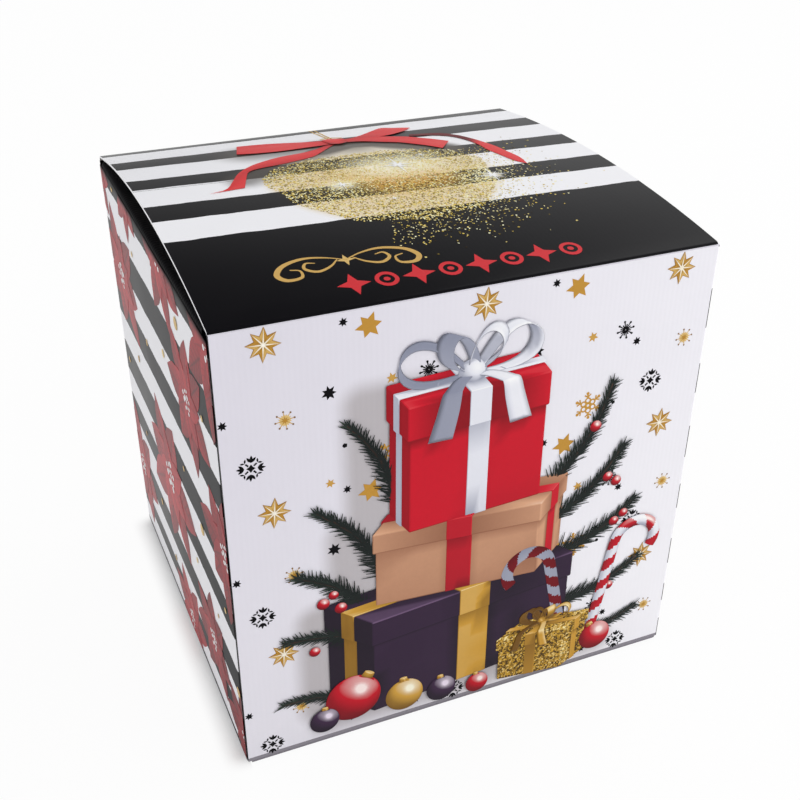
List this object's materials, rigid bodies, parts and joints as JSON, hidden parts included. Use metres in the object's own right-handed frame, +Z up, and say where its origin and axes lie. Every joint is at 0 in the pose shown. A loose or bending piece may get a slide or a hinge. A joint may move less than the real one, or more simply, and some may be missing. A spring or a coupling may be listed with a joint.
{
  "type": "advent calendar box",
  "caption": "Cube-shaped printed gift box with a hinged tuck-in lid and snap-lock base, packed with two layers of numbered gift cartons.",
  "frame": {"origin": "middle of the base, on the surface that the box stands on", "axes": "+Z up; the front wall, which the lid tucks in behind, faces -Y; the lid's hinge is along X at the back"},
  "size_m": [0.3, 0.28, 0.315],
  "materials": {
    "case_print": "gloss varnished print",
    "base_print": "plain coated board",
    "lid_print": "gloss varnished print",
    "flap_board": "plain white board",
    "pad_board": "plain white board",
    "carton_white": "satin varnished print",
    "carton_black": "satin varnished print",
    "carton_red": "satin varnished print"
  },
  "bodies": {
    "case": {"case_walls": "case_print", "base_flap_front": "base_print", "base_flap_left": "base_print", "base_flap_back": "base_print", "base_flap_right": "base_print", "base_pad": "pad_board", "layer_pad_1": "pad_board", "gift_carton_01": "carton_black", "gift_carton_02": "carton_red", "gift_carton_03": "carton_white", "gift_carton_04": "carton_black", "gift_carton_05": "carton_red", "gift_carton_06": "carton_white", "gift_carton_07": "carton_black", "gift_carton_08": "carton_red", "gift_carton_09": "carton_white", "gift_carton_10": "carton_black", "gift_carton_11": "carton_red", "gift_carton_12": "carton_white", "gift_carton_13": "carton_white", "gift_carton_14": "carton_black", "gift_carton_15": "carton_red", "gift_carton_16": "carton_white", "gift_carton_17": "carton_black", "gift_carton_18": "carton_red", "gift_carton_19": "carton_white", "gift_carton_20": "carton_black", "gift_carton_21": "carton_red", "gift_carton_22": "carton_white", "gift_carton_23": "carton_black", "gift_carton_24": "carton_red"},
    "lid": {"lid_panel": "lid_print"},
    "tuck": {"tuck_flap": "lid_print"},
    "dust_left": {"dust_flap_left": "flap_board"},
    "dust_right": {"dust_flap_right": "flap_board"}
  },
  "joints": [
    {"name": "lid_hinge", "type": "hinge", "parent": "case", "child": "lid", "pos_m": [0, 0.14, 0.3], "axis": [-1, 0, 0], "range_deg": [0, 250]},
    {"name": "tuck_crease", "type": "hinge", "parent": "lid", "child": "tuck", "pos_m": [0, -0.1381, 0.3], "axis": [-1, 0, 0], "range_deg": [0, 84]},
    {"name": "dust_crease_left", "type": "hinge", "parent": "case", "child": "dust_left", "pos_m": [-0.15, 0, 0.2981], "axis": [0, -1, 0], "range_deg": [0, 84]},
    {"name": "dust_crease_right", "type": "hinge", "parent": "case", "child": "dust_right", "pos_m": [0.15, 0, 0.2981], "axis": [0, 1, 0], "range_deg": [0, 84]}
  ],
  "couplings": [
    {"joint": "tuck_crease", "follows": "lid_hinge", "ratio": 0.3333},
    {"joint": "dust_crease_left", "follows": "lid_hinge", "ratio": 0.3333},
    {"joint": "dust_crease_right", "follows": "lid_hinge", "ratio": 0.3333}
  ]
}
